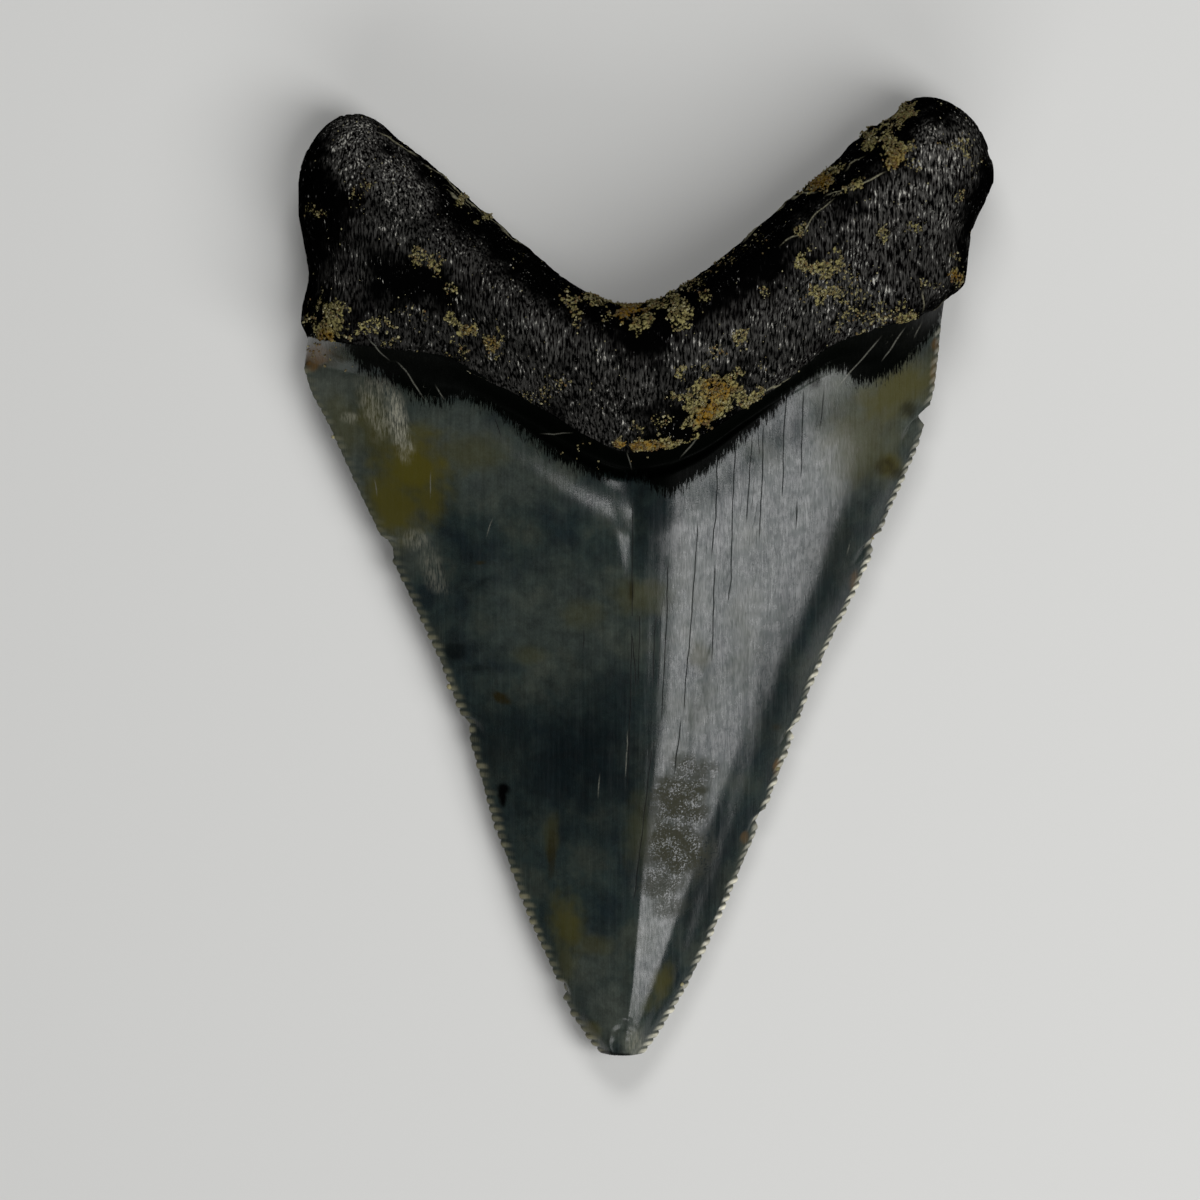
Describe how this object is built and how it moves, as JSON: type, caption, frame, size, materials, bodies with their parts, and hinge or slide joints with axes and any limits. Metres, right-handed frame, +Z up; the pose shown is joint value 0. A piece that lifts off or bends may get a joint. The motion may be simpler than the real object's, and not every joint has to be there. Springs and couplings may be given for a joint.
{
  "type": "fossil shark tooth",
  "caption": "Large fossil shark tooth, tongue side up: slate-grey serrated triangular crown, black dental band and thick two-lobed root with sandy crusts.",
  "frame": {"origin": "under the middle of the tooth's bounding box, on the surface that it lies on", "axes": "+Z up from the lip side that it lies on to the tongue side, +Y from the crown's tip to the root, +X to the right seen from above"},
  "size_m": [0.0638, 0.088, 0.0188],
  "materials": {
    "fossil_tooth": "satin slate-grey enamel on a dull black root"
  },
  "bodies": {
    "root": {"tooth": "fossil_tooth"}
  },
  "joints": []
}
